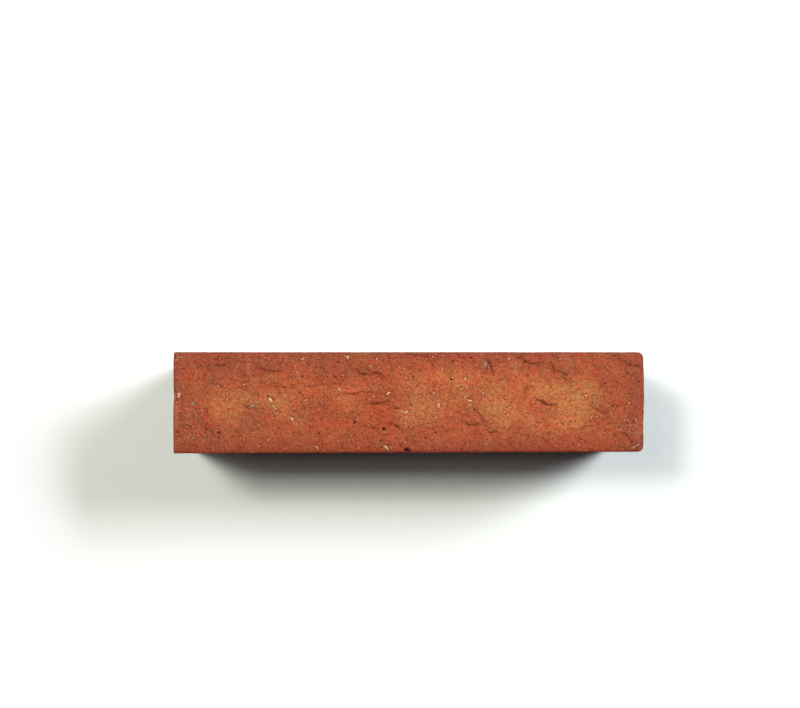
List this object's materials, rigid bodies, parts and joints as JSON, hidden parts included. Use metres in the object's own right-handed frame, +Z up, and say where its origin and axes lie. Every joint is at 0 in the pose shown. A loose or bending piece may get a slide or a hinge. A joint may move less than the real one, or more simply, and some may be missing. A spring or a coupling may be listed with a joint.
{
  "type": "clay brick",
  "caption": "Solid red clay facing brick with flat bed faces, a torn textured fair face, one wire-cut end and one rounded, slightly crowned end, standing on its back face.",
  "frame": {"origin": "centre of the bottom of the box round the brick, on the floor that its back face stands on", "axes": "+X along the length, from the cut end to the crowned end; +Y across the thickness, towards the upper bed face; +Z up, out of the fair face"},
  "size_m": [0.24, 0.0518, 0.115],
  "materials": {
    "fired_clay": "matte"
  },
  "bodies": {
    "root": {"brick": "fired_clay"}
  },
  "joints": []
}
